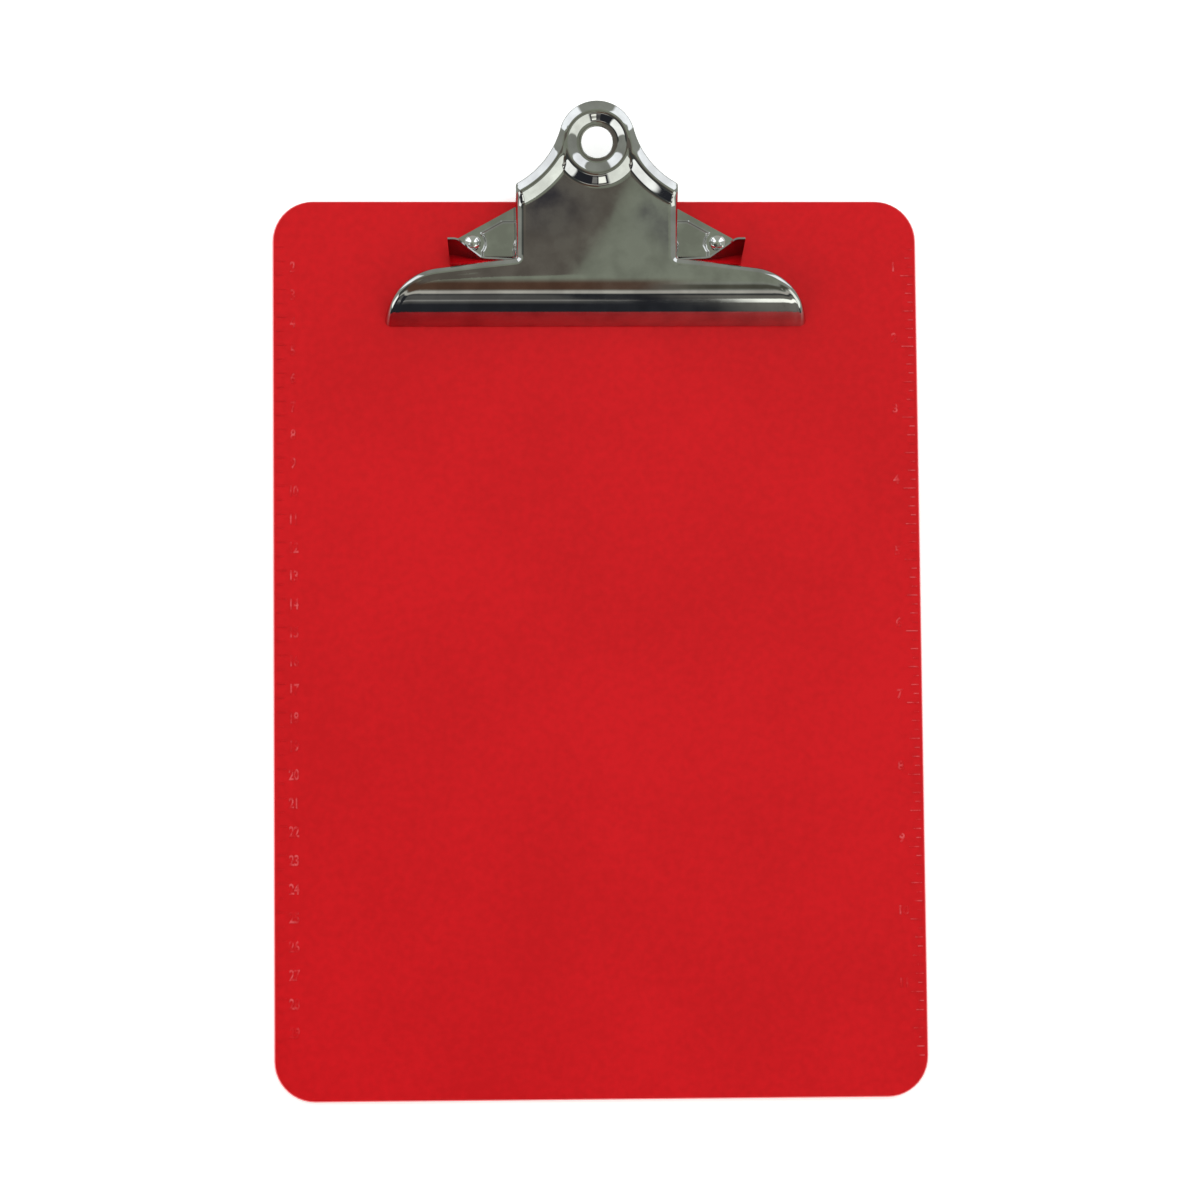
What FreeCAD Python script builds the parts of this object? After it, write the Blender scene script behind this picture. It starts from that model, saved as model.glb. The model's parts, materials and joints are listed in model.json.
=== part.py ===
import FreeCAD, Part
import os
from math import acos, asin, atan2, cos, degrees, hypot, pi, radians, sin, sqrt, tan

# A letter-size clipboard with a pressed steel spring clip, lying on its back. Millimetres, +Z up,
# +Y towards the clip, +X to the right. The origin is the middle of the board's back face.

Vector = FreeCAD.Vector
X_AXIS = Vector(1, 0, 0)
Y_AXIS = Vector(0, 1, 0)
Z_AXIS = Vector(0, 0, 1)
INCH = 25.4

# Board: a sheet of paper 8.5 by 11 inches with a margin, and room for the clip above it.
BOARD_WIDTH = 9.0 * INCH
BOARD_LENGTH = 12.5 * INCH
BOARD_THICK = 3.0
BOARD_CORNER = 14.3
BOARD_EDGE_ROUND = 0.7
RULER_START = BOARD_LENGTH / 2 - 1.4
RULER_RELIEF = 0.2
TICK_WIDTH = 0.35
RULER_EDGE_GAP = 1.3

# Lever and base plate are folded from the same kind of steel sheet.
SHEET = 1.0
BASE_SHEET = 0.9

# The lever's own frame has its flat body on top, with Y = 0 where the jaw starts to curve down.
LEVER_TILT = 8.0
BODY_HALF = 28.5
BODY_FOLD = 3.0
BODY_FRONT = -4.0
BODY_BACK = 34.0
JAW_HALF = 74.7
JAW_UPPER_RADIUS = 19.0
JAW_LOWER_RADIUS = 30.0
JAW_UPPER_SWEEP = radians(42.0)
JAW_LOWER_SWEEP = radians(15.0)
JAW_CORNER = 21.0
JAW_BACK = 5.9
JAW_BACK_SLOPE = radians(6.9)
JAW_RIM = 2.6
JAW_RIM_ROUND = 2.2
LIP_GAP = 0.1

# Round the back of the lever runs a pressed bead, which closes into a ring round the hanging hole.
RING_BACK = 46.5
RING_CREST = 9.8
RING_OUTER = 13.4
RING_SHIFT = 1.2
HANG_HOLE_RADIUS = 5.5
SHOULDER_RADIUS = 31.0
SHOULDER_SIDE = 42.8
BEAD_INSET = 3.3
BEAD_HEIGHT = 2.2
BEAD_HALF = 4.3
BEAD_RADIUS = (BEAD_HALF ** 2 + BEAD_HEIGHT ** 2) / (2 * BEAD_HEIGHT)
SHOULDER_BEAD_SWEEP = 80.0

# Blocks that cut or keep a part of the lever reach this far, well past the clip.
REACH = 100.0

# Hinge pin, in the board's frame and in the lever's.
PIN_RADIUS = 1.75
PIN_Y = 141.0
PIN_Z = BOARD_THICK + 7.3
PIN_IN_LEVER_Y = 10.0
PIN_IN_LEVER_Z = -7.9
PIN_HEAD_RADIUS = 2.9
PIN_HEAD_THICK = 0.9
PIN_RUNNING_GAP = 0.05
CHEEK_EAR = 3.8
CHEEK_BACK_DEPTH = 3.2

# Base plate.
BASE_RISE = 1.0
BASE_DRAFT = 0.8
EAR_GAP = 0.35
EAR_OUTER = BODY_HALF - SHEET - EAR_GAP
EAR_RADIUS = 4.2
EAR_FOOT_HALF = 8.0
FIN_LEAN = radians(54.5)
FIN_FOOT_Y = 136.0
FIN_FOOT_SIDE = 51.6
FIN_TOP_SIDE = 52.6
FIN_HEIGHT = 13.3
FIN_LOW_HEIGHT = 4.2
FIN_INNER_SIDE = 29.4
FIN_INNER_HEIGHT = 3.0

# Rivets with their washers in pockets in the back of the board.
RIVET_SIDE = 43.5
RIVET_Y = 143.6
RIVET_HEAD_RADIUS = 2.9
RIVET_HEAD_HEIGHT = 1.3
RIVET_SHANK = 1.6
RIVET_HOLE = 1.7
RIVET_PAD = 4.6
RIVET_FLARE = 2.7
RIVET_DIMPLE = 1.1
POCKET_RADIUS = 5.2
POCKET_DEPTH = 1.5
WASHER_RADIUS = 4.8
WASHER_THICK = 0.6
BACK_RECESS = 0.2

# Torsion spring on the pin: both legs point to the back, one up under the lever, one down.
WIRE_RADIUS = 1.0
COIL_RADIUS = 3.4
COIL_TURNS = 8
COIL_PITCH = 2.15
UPPER_LEG = 14.0
LOWER_LEG = 9.5
LEG_UP = radians(18.2)
LEG_DOWN = radians(-5.8)


def extruded(points, height, z=0.0):
    """A prism of a plan outline, from z upwards."""
    corners = [Vector(x, y, z) for x, y in points]
    outline = Part.makePolygon(corners + corners[:1])
    return Part.Face(outline).extrude(Z_AXIS * height)


def mirrored(shape):
    """The same shape on the other side of the middle plane."""
    return shape.mirror(Vector(0, 0, 0), X_AXIS)


def both_sides(shape):
    """The shape together with its mirror image."""
    return shape.fuse(mirrored(shape))


def rod(radius, length, centre, axis=X_AXIS):
    """A cylinder centred on a point."""
    start = centre - axis * (length / 2)
    return Part.makeCylinder(radius, length, start, axis)


def block(x0, x1, y0, y1, z0, z1):
    """A box between two corners."""
    return Part.makeBox(x1 - x0, y1 - y0, z1 - z0, Vector(x0, y0, z0))


def line(start, end):
    """A straight edge between two points of a plan."""
    return Part.LineSegment(Vector(*start), Vector(*end)).toShape()


def between(first, second):
    """Unit vector halfway between two directions."""
    a = Vector(first).normalize()
    b = Vector(second).normalize()
    return (a + b).normalize()


def ruler_ticks(spacing, side, lengths):
    """Raised ticks along one long edge, clear of the corners. Every so many are longer."""
    ticks = []
    straight_half = BOARD_LENGTH / 2 - BOARD_CORNER
    first = int((RULER_START - straight_half) / spacing) + 1
    last = int((RULER_START + straight_half) / spacing)
    for n in range(first, last + 1):
        length = next(size for step, size in lengths if n % step == 0)
        y = RULER_START - n * spacing
        near = BOARD_WIDTH / 2 - RULER_EDGE_GAP - length
        x = near if side > 0 else -near - length
        low = BOARD_THICK - RULER_RELIEF
        high = BOARD_THICK + RULER_RELIEF
        ticks.append(block(x, x + length, y - TICK_WIDTH / 2, y + TICK_WIDTH / 2, low, high))
    return ticks


def make_board():
    """The moulded board, with its rulers, two rivet holes and their pockets."""
    half_width = BOARD_WIDTH / 2
    half_length = BOARD_LENGTH / 2
    board = block(-half_width, half_width, -half_length, half_length, 0, BOARD_THICK)
    upright = [e for e in board.Edges if abs(e.tangentAt(e.FirstParameter).z) > 0.9]
    board = board.makeFillet(BOARD_CORNER, upright)
    rims = [e for e in board.Edges if abs(e.tangentAt(e.FirstParameter).z) < 0.1]
    board = board.makeFillet(BOARD_EDGE_ROUND, rims)
    for x in (-RIVET_SIDE, RIVET_SIDE):
        board = board.cut(Part.makeCylinder(RIVET_HOLE, BOARD_THICK, Vector(x, RIVET_Y, 0)))
        board = board.cut(Part.makeCylinder(POCKET_RADIUS, POCKET_DEPTH, Vector(x, RIVET_Y, 0)))
    inches = ruler_ticks(INCH / 8, 1, ((8, 4.2), (4, 3.6), (2, 2.6), (1, 1.8)))
    centimetres = ruler_ticks(5.0, -1, ((2, 3.2), (1, 2.2)))
    return board.fuse(inches + centimetres)


def jaw_section(inset):
    """Corner points of the lever's top line, sunk by inset, from the lip to the back."""
    upper = JAW_UPPER_RADIUS - inset
    lower = JAW_LOWER_RADIUS - inset
    half = JAW_UPPER_SWEEP / 2
    full = JAW_UPPER_SWEEP
    mid = full + JAW_LOWER_SWEEP / 2
    end = full + JAW_LOWER_SWEEP
    upper_centre = Vector(0, 0, -JAW_UPPER_RADIUS)
    step = JAW_LOWER_RADIUS - JAW_UPPER_RADIUS
    lower_centre = upper_centre + Vector(0, step * sin(full), -step * cos(full))

    def on(centre, radius, angle):
        return centre + Vector(0, -radius * sin(angle), radius * cos(angle))

    lip = on(lower_centre, lower, end)
    lower_arc = Part.Arc(lip, on(lower_centre, lower, mid), on(lower_centre, lower, full))
    upper_arc = Part.Arc(
        on(upper_centre, upper, full), on(upper_centre, upper, half), on(upper_centre, upper, 0)
    )
    return lip, lower_arc, upper_arc


def under_top_line(inset, half_width, back):
    """The solid below the lever's top surface, sunk by inset, down to well below the lip."""
    lip, lower_arc, upper_arc = jaw_section(inset)
    bend = Vector(0, 0, -inset)
    corners = [Vector(0, back, -inset), Vector(0, back, -REACH), Vector(0, lip.y, -REACH), lip]
    lines = [Part.LineSegment(bend, corners[0])]
    lines += [Part.LineSegment(a, b) for a, b in zip(corners, corners[1:])]
    edges = [piece.toShape() for piece in [lower_arc, upper_arc] + lines]
    face = Part.Face(Part.Wire(Part.__sortEdges__(edges)))
    face.translate(Vector(-half_width, 0, 0))
    return face.extrude(X_AXIS * (2 * half_width))


def upright_prism(right_edges):
    """A tall prism over a plan whose right half is given."""
    half = Part.Face(Part.Wire(Part.__sortEdges__(right_edges)))
    prism = half.extrude(Z_AXIS * (2 * REACH))
    prism.translate(Z_AXIS * -REACH)
    return both_sides(prism).removeSplitter()


def jaw_plan(inset):
    """Prism of the jaw's plan: back edges slope, and the ends turn on a large radius."""
    corner = JAW_CORNER - inset
    back_y = JAW_BACK - inset / cos(JAW_BACK_SLOPE)
    side = JAW_HALF - inset
    centre_x = JAW_HALF - JAW_CORNER
    turn_x = centre_x + corner * sin(JAW_BACK_SLOPE)
    turn_y = back_y - (turn_x - BODY_HALF) * tan(JAW_BACK_SLOPE)
    centre_y = turn_y - corner * cos(JAW_BACK_SLOPE)
    middle = (pi / 2 - JAW_BACK_SLOPE) / 2
    on_arc = Vector(centre_x + corner * cos(middle), centre_y + corner * sin(middle), 0)
    right = [
        Part.LineSegment(Vector(0, back_y, 0), Vector(BODY_HALF, back_y, 0)),
        Part.LineSegment(Vector(BODY_HALF, back_y, 0), Vector(turn_x, turn_y, 0)),
        Part.Arc(Vector(turn_x, turn_y, 0), on_arc, Vector(side, centre_y, 0)),
        Part.LineSegment(Vector(side, centre_y, 0), Vector(side, -REACH, 0)),
        Part.LineSegment(Vector(side, -REACH, 0), Vector(0, -REACH, 0)),
        Part.LineSegment(Vector(0, -REACH, 0), Vector(0, back_y, 0)),
    ]
    return upright_prism([piece.toShape() for piece in right])


def jaw_form(inset):
    """The jaw as a full solid with a rounded rim along its back and its ends."""
    form = under_top_line(inset, REACH, REACH).common(jaw_plan(inset))
    radius = JAW_RIM_ROUND - inset
    rims = []
    for edge in form.Edges:
        middle = edge.valueAt((edge.FirstParameter + edge.LastParameter) / 2)
        outside = abs(middle.x) > BODY_HALF - inset + 0.01
        crosswise = abs(edge.tangentAt(edge.FirstParameter).x) > 0.999
        if outside and middle.z > -JAW_UPPER_RADIUS and not crosswise:
            rims.append(edge)
    return form.makeFillet(radius, rims)


def body_form(inset):
    """The body between the cheeks as a full solid with its two long top edges rounded."""
    half = BODY_HALF - inset
    form = block(-half, half, BODY_FRONT, BODY_BACK, -REACH, -inset)
    folds = [
        e for e in form.Edges
        if abs(e.tangentAt(0).y) > 0.9 and e.BoundBox.ZMin > -inset - 0.01
    ]
    return form.makeFillet(BODY_FOLD - inset, folds)


def shoulder_centre():
    """Centre of the concave edge that runs from a cheek to the ring, tangent to the ring."""
    reach = RING_OUTER + SHOULDER_RADIUS
    return Vector(SHOULDER_SIDE, RING_BACK + RING_SHIFT + sqrt(reach ** 2 - SHOULDER_SIDE ** 2), 0)


def back_plan():
    """Prism of the lever's plan behind the jaw: cheeks, concave shoulders and ring."""
    ring_centre = Vector(0, RING_BACK + RING_SHIFT, 0)
    centre = shoulder_centre()
    drop = sqrt(SHOULDER_RADIUS ** 2 - (centre.x - BODY_HALF) ** 2)
    corner = Vector(BODY_HALF, centre.y - drop, 0)
    toward = (ring_centre - centre).normalize()
    meeting = centre + toward * SHOULDER_RADIUS
    across = (toward + (corner - centre).normalize()).normalize()
    on_arc = centre + across * SHOULDER_RADIUS
    edges = [
        line((0, -REACH), (BODY_HALF, -REACH)),
        line((BODY_HALF, -REACH), (BODY_HALF, corner.y)),
        Part.Arc(corner, on_arc, meeting).toShape(),
        Part.Arc(meeting, ring_centre + between(meeting - ring_centre, Y_AXIS) * RING_OUTER,
                 ring_centre + Y_AXIS * RING_OUTER).toShape(),
        line((0, RING_BACK + RING_SHIFT + RING_OUTER), (0, -REACH)),
    ]
    return upright_prism(edges)


def bead_tori(tube):
    """Ring torus and two shoulder tori whose tops make the pressed bead."""
    depth = BEAD_HEIGHT - BEAD_RADIUS
    ring = Part.makeTorus(RING_CREST, tube, Vector(0, RING_BACK, depth), Z_AXIS)
    centre = shoulder_centre()
    to_ring = Vector(0, RING_BACK, 0) - centre
    start = degrees(atan2(to_ring.y, to_ring.x)) % 360
    shoulder = Part.makeTorus(
        SHOULDER_RADIUS + BEAD_INSET, tube, Vector(0, 0, 0), Z_AXIS, -180, 180, SHOULDER_BEAD_SWEEP
    )
    shoulder.rotate(Vector(0, 0, 0), Z_AXIS, start)
    shoulder.translate(centre + Z_AXIS * depth)
    return ring.fuse([shoulder, mirrored(shoulder)])


def cheek_side():
    """Side view of a cheek, as a wide prism: a skirt that deepens into an ear round the pin."""
    front = PIN_IN_LEVER_Y - CHEEK_EAR
    span = BODY_BACK - PIN_IN_LEVER_Y
    rise = -CHEEK_BACK_DEPTH - PIN_IN_LEVER_Z
    touch = atan2(rise, span) - acos(CHEEK_EAR / hypot(span, rise))
    touch_y = PIN_IN_LEVER_Y + CHEEK_EAR * cos(touch)
    touch_z = PIN_IN_LEVER_Z + CHEEK_EAR * sin(touch)
    points = [
        (front, 1), (front, PIN_IN_LEVER_Z), (PIN_IN_LEVER_Y, PIN_IN_LEVER_Z),
        (touch_y, touch_z), (BODY_BACK, -CHEEK_BACK_DEPTH), (BODY_BACK, 1),
    ]
    corners = [Vector(-BODY_HALF - 1, y, z) for y, z in points]
    side = Part.Face(Part.makePolygon(corners + corners[:1])).extrude(X_AXIS * (2 * BODY_HALF + 2))
    pin_centre = Vector(0, PIN_IN_LEVER_Y, PIN_IN_LEVER_Z)
    return side.fuse(rod(CHEEK_EAR, 2 * BODY_HALF + 2, pin_centre))


def below_lip():
    """Everything past the jaw's lip, where the sheet ends square to its surface."""
    space = block(-REACH, REACH, -REACH, 0, -REACH, JAW_UPPER_RADIUS / 4)
    space.rotate(Vector(0, 0, 0), X_AXIS, degrees(JAW_UPPER_SWEEP + JAW_LOWER_SWEEP))
    space.translate(jaw_section(0)[0])
    return space


def make_lever():
    """Jaw, body, cheeks, shoulders and ring from one sheet, first in the lever's own frame."""
    outer = jaw_form(0).fuse(body_form(0))
    inner = jaw_form(SHEET).fuse(body_form(SHEET))
    shell = outer.cut(inner).cut(below_lip())
    cheek_front = PIN_IN_LEVER_Y - CHEEK_EAR
    skirts = under_top_line(JAW_RIM, REACH, REACH)
    front = shell.common(block(-REACH, REACH, -REACH, cheek_front, -REACH, REACH)).cut(skirts)
    back = shell.common(block(-REACH, REACH, cheek_front, REACH, -REACH, REACH))
    flat = BODY_HALF - BODY_FOLD
    tab = block(-flat, flat, PIN_IN_LEVER_Y, REACH, -SHEET, 0)
    upper_space = block(-BODY_HALF, BODY_HALF, PIN_IN_LEVER_Y, REACH, -SHEET, REACH)
    beads = bead_tori(BEAD_RADIUS).common(upper_space)
    rear = back.common(cheek_side()).fuse([tab, beads]).common(back_plan())
    inside = BODY_HALF - SHEET
    lower_space = block(-inside, inside, PIN_IN_LEVER_Y, REACH, -REACH, REACH)
    grooves = bead_tori(BEAD_RADIUS - SHEET).common(lower_space)
    lever = front.fuse(rear.cut(grooves))
    lever = lever.cut(rod(HANG_HOLE_RADIUS, REACH, Vector(0, RING_BACK, 0), Z_AXIS))
    pin_centre = Vector(0, PIN_IN_LEVER_Y, PIN_IN_LEVER_Z)
    lever = lever.cut(rod(PIN_RADIUS, REACH, pin_centre)).removeSplitter()
    lever.translate(-pin_centre)
    lever.rotate(Vector(0, 0, 0), X_AXIS, LEVER_TILT)
    lever.translate(Vector(0, PIN_Y, PIN_Z))
    return lever.cut(block(-REACH, REACH, 0, PIN_Y, -REACH, BOARD_THICK + LIP_GAP))


def base_outline():
    """Plan of the base plate: a front edge, fins' feet, and ends that slope in to the back."""
    right = [(26.0, 131.0), (FIN_INNER_SIDE, FIN_FOOT_Y), (FIN_FOOT_SIDE, FIN_FOOT_Y),
             (FIN_FOOT_SIDE, 142.2), (48.7, 145.3), (27.2, 157.2)]
    left = [(-x, y) for x, y in reversed(right)]
    return right + left


def plateau(sink):
    """Raised middle of the base plate with sloping sides, sunk by sink."""
    right = [(25.0, 132.6), (29.2, 138.0), (40.0, 138.0), (40.3, 147.3), (32.8, 150.9)]
    points = right + [(-x, y) for x, y in reversed(right)]
    top_z = BOARD_THICK + BASE_SHEET + BASE_RISE - sink
    top_corners = [Vector(x, y, top_z) for x, y in points]
    top = Part.makePolygon(top_corners + top_corners[:1])
    slope = BASE_DRAFT * (BASE_SHEET + BASE_RISE) / BASE_RISE
    foot = top.makeOffset2D(slope, 2)
    foot.translate(Z_AXIS * -(BASE_SHEET + BASE_RISE))
    raised = Part.makeLoft([foot, top], True, True)
    places = [Vector(x, RIVET_Y, BOARD_THICK) for x in (-RIVET_SIDE, RIVET_SIDE)]
    return raised.cut([rod(RIVET_PAD, REACH, place, Z_AXIS) for place in places])


def fin():
    """Right paper stop: a plate folded up from the front edge, low near the lever, high outside."""
    points = [
        Vector(FIN_INNER_SIDE, 0, 0), Vector(FIN_FOOT_SIDE, 0, 0),
        Vector(FIN_TOP_SIDE, FIN_HEIGHT, 0), Vector(50.6, FIN_HEIGHT, 0),
        Vector(47.6, 11.4, 0), Vector(40.6, FIN_LOW_HEIGHT, 0),
        Vector(FIN_INNER_SIDE, FIN_INNER_HEIGHT, 0),
    ]
    edges = [Part.LineSegment(a, b).toShape() for a, b in zip(points, points[1:] + points[:1])]
    edges[3] = Part.Arc(points[3], Vector(48.9, 12.8, 0), points[4]).toShape()
    plate = Part.Face(Part.Wire(edges)).extrude(Z_AXIS * -BASE_SHEET)
    plate.rotate(Vector(0, 0, 0), X_AXIS, degrees(FIN_LEAN))
    plate.translate(Vector(0, FIN_FOOT_Y, BOARD_THICK + BASE_SHEET))
    return plate.common(block(0, REACH, 0, BOARD_LENGTH, BOARD_THICK, REACH))


def ear():
    """Right ear of the base plate, which carries the pin inside the lever's cheek."""
    foot_z = BOARD_THICK + BASE_SHEET
    corners = [
        Vector(EAR_OUTER, PIN_Y - EAR_FOOT_HALF, foot_z),
        Vector(EAR_OUTER, PIN_Y + EAR_FOOT_HALF, foot_z),
        Vector(EAR_OUTER, PIN_Y + EAR_RADIUS, PIN_Z),
        Vector(EAR_OUTER, PIN_Y - EAR_RADIUS, PIN_Z),
    ]
    plate = Part.Face(Part.makePolygon(corners + corners[:1])).extrude(X_AXIS * -BASE_SHEET)
    head = rod(EAR_RADIUS, BASE_SHEET, Vector(EAR_OUTER - BASE_SHEET / 2, PIN_Y, PIN_Z))
    return plate.fuse(head)


def make_base_plate():
    """Base plate with its raised middle, ears and paper stops."""
    low = extruded(base_outline(), BASE_SHEET, BOARD_THICK)
    plate = low.fuse(plateau(0)).cut(plateau(BASE_SHEET))
    plate = plate.fuse([both_sides(fin()), both_sides(ear())])
    for x in (-RIVET_SIDE, RIVET_SIDE):
        plate = plate.cut(rod(RIVET_HOLE, REACH, Vector(x, RIVET_Y, BOARD_THICK), Z_AXIS))
    pin_hole = rod(PIN_RADIUS + PIN_RUNNING_GAP, 2 * BODY_HALF, Vector(0, PIN_Y, PIN_Z))
    return plate.cut(pin_hole).removeSplitter()


def dome(radius, height, base, axis):
    """A rivet head: the cap of a ball, with its flat side at base."""
    ball = (radius ** 2 + height ** 2) / (2 * height)
    edge_angle = degrees(asin((ball - height) / ball))
    cap = Part.makeSphere(ball, Vector(0, 0, height - ball), Z_AXIS, edge_angle, 90, 360)
    turn_axis = X_AXIS if axis == Z_AXIS else Z_AXIS.cross(axis)
    cap.rotate(Vector(0, 0, 0), turn_axis, degrees(Z_AXIS.getAngle(axis)))
    cap.translate(base)
    return cap


def make_hinge_pin():
    """Pin through both cheeks and both ears, peened over outside the cheeks."""
    centre = Vector(0, PIN_Y, PIN_Z)
    pin = rod(PIN_RADIUS, 2 * BODY_HALF, centre)
    for side in (-1, 1):
        base = centre + X_AXIS * (side * BODY_HALF)
        pin = pin.fuse(dome(PIN_HEAD_RADIUS, PIN_HEAD_THICK, base, X_AXIS * side))
    return pin.removeSplitter()


def make_rivet(x):
    """Domed head on the base plate, shank through the board, and a flared end on the washer."""
    head_z = BOARD_THICK + BASE_SHEET
    washer_low = POCKET_DEPTH - WASHER_THICK
    head = dome(RIVET_HEAD_RADIUS, RIVET_HEAD_HEIGHT, Vector(x, RIVET_Y, head_z), Z_AXIS)
    foot = Vector(x, RIVET_Y, BACK_RECESS)
    shank = Part.makeCylinder(RIVET_SHANK, head_z - BACK_RECESS, foot)
    flare = Part.makeCylinder(RIVET_FLARE, washer_low - BACK_RECESS, foot)
    dimple = Part.makeCone(RIVET_DIMPLE, RIVET_DIMPLE / 2, RIVET_SHANK, foot)
    return head.fuse([shank, flare]).cut(dimple).removeSplitter()


def make_washer(x):
    """Flat washer at the top of its pocket in the board's back."""
    low = POCKET_DEPTH - WASHER_THICK
    washer = Part.makeCylinder(WASHER_RADIUS, WASHER_THICK, Vector(x, RIVET_Y, low))
    return washer.cut(Part.makeCylinder(RIVET_HOLE, WASHER_THICK, Vector(x, RIVET_Y, low)))


def make_torsion_spring():
    """Close-wound coil round the pin with two straight legs that leave it at a tangent."""
    start_angle = -pi / 2 + LEG_DOWN
    end_angle = pi / 2 + LEG_UP
    turn = (start_angle - end_angle) % (2 * pi)
    turns = COIL_TURNS + turn / (2 * pi)
    length = turns * COIL_PITCH
    helix = Part.makeHelix(COIL_PITCH, length, COIL_RADIUS)
    helix.rotate(Vector(0, 0, 0), Y_AXIS, -90)
    first = helix.Edges[0]
    section = Part.Wire(Part.makeCircle(WIRE_RADIUS, first.valueAt(0), first.tangentAt(0)))
    coil = Part.Wire(helix).makePipeShell([section], True, True)
    coil.translate(X_AXIS * (length / 2))
    coil.rotate(Vector(0, 0, 0), X_AXIS, degrees(start_angle) - 90)
    pieces = [coil]
    legs = ((1, start_angle, LEG_DOWN, LOWER_LEG), (-1, end_angle, LEG_UP, UPPER_LEG))
    for side, angle, lean, reach in legs:
        root = Vector(side * length / 2, COIL_RADIUS * cos(angle), COIL_RADIUS * sin(angle))
        along = Vector(0, cos(lean), sin(lean))
        pieces.append(Part.makeCylinder(WIRE_RADIUS, reach, root, along))
        pieces.append(Part.makeSphere(WIRE_RADIUS, root))
        pieces.append(Part.makeSphere(WIRE_RADIUS, root + along * reach))
    spring = pieces[0].fuse(pieces[1:])
    spring.translate(Vector(0, PIN_Y, PIN_Z))
    return spring


def main():
    os.makedirs("parts", exist_ok=True)
    nodes = {
        "board": make_board(),
        "base_plate": make_base_plate(),
        "lever": make_lever(),
        "hinge_pin": make_hinge_pin(),
        "torsion_spring": make_torsion_spring(),
        "rivet_left": make_rivet(-RIVET_SIDE),
        "rivet_right": make_rivet(RIVET_SIDE),
        "washer_left": make_washer(-RIVET_SIDE),
        "washer_right": make_washer(RIVET_SIDE),
    }
    for name, shape in nodes.items():
        shape.exportStep("parts/" + name + ".step")


main()
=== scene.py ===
"""A letter-size clipboard with a pressed steel clip, seen from above on a pale floor."""
import json
import math

import bmesh
import bpy
from mathutils import Euler, Matrix, Vector
from mathutils.geometry import delaunay_2d_cdt
from mathutils.kdtree import KDTree


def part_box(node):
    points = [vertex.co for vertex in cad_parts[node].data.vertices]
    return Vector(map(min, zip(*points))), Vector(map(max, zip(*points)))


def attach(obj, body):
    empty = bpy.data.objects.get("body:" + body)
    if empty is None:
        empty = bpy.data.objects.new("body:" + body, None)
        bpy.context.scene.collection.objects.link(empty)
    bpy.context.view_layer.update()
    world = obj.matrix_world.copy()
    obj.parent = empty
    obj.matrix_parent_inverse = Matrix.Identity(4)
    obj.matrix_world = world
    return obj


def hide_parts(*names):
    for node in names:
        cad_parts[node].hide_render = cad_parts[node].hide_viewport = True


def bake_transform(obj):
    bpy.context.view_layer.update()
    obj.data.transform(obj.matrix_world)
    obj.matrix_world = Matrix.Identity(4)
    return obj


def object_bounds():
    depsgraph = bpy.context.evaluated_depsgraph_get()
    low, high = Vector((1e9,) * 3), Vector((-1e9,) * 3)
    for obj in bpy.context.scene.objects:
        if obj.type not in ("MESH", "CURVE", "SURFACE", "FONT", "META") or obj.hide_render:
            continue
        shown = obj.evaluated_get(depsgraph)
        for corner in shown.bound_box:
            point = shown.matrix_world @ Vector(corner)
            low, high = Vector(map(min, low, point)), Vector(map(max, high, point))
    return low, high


MM = 0.001
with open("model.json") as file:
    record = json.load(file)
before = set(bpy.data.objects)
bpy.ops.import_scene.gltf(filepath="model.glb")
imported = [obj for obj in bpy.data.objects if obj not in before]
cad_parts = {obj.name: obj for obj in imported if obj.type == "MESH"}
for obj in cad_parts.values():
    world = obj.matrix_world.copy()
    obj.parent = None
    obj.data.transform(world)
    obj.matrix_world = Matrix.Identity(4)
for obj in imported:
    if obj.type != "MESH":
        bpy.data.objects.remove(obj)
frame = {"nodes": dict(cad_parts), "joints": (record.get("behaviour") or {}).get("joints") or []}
cad_low, cad_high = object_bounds()
nodes = frame["nodes"]
board_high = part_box("board")[1]
pin_place = Vector(frame["joints"][0]["pos_m"])

# In millimetres, from the middle of the board and from the floor.
BOARD_HALF = board_high.x / MM
BOARD_TOP = 3.0

# ---------------------------------------------------------------- camera and surroundings

# The photograph is taken with a long lens from above the lower left of the board.
CAMERA_PLACE = Vector((-78.8, -139.6, 1579.4)) * MM
CAMERA_TURN = Euler([math.radians(a) for a in (5.65, -2.85, -0.53)])
CAMERA_LENS = 134.66
CAMERA_SENSOR = 36.0
CAMERA_REACH = 50.0


def make_camera():
    """The camera, placed and turned as the photograph's was."""
    data = bpy.data.cameras.new("camera")
    data.lens = CAMERA_LENS
    data.sensor_width = CAMERA_SENSOR
    data.clip_end = CAMERA_REACH
    camera = bpy.data.objects.new("camera", data)
    camera.location = CAMERA_PLACE
    camera.rotation_euler = CAMERA_TURN
    bpy.context.scene.collection.objects.link(camera)
    bpy.context.scene.camera = camera


def new_material(name):
    """A node material with its Principled shader, ready for more nodes."""
    material = bpy.data.materials.new(name)
    material.use_nodes = True
    shader = material.node_tree.nodes["Principled BSDF"]
    return material, material.node_tree, shader


def add_node(tree, kind, inputs=(), **settings):
    """A node with its settings, and its inputs by name: a value, or a socket to link."""
    node = tree.nodes.new(kind)
    for key, value in settings.items():
        setattr(node, key, value)
    for key, value in dict(inputs).items():
        if isinstance(value, bpy.types.NodeSocket):
            tree.links.new(value, node.inputs[key])
        else:
            node.inputs[key].default_value = value
    return node


def math_node(tree, operation, first, second=None):
    """The result of a sum on one or two values or sockets."""
    inputs = {0: first}
    if second is not None:
        inputs[1] = second
    return add_node(tree, "ShaderNodeMath", inputs, operation=operation).outputs[0]


def product(tree, masks):
    """The masks multiplied together, or None when there are none."""
    total = None
    for mask in masks:
        total = mask if total is None else math_node(tree, "MULTIPLY", total, mask)
    return total


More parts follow.
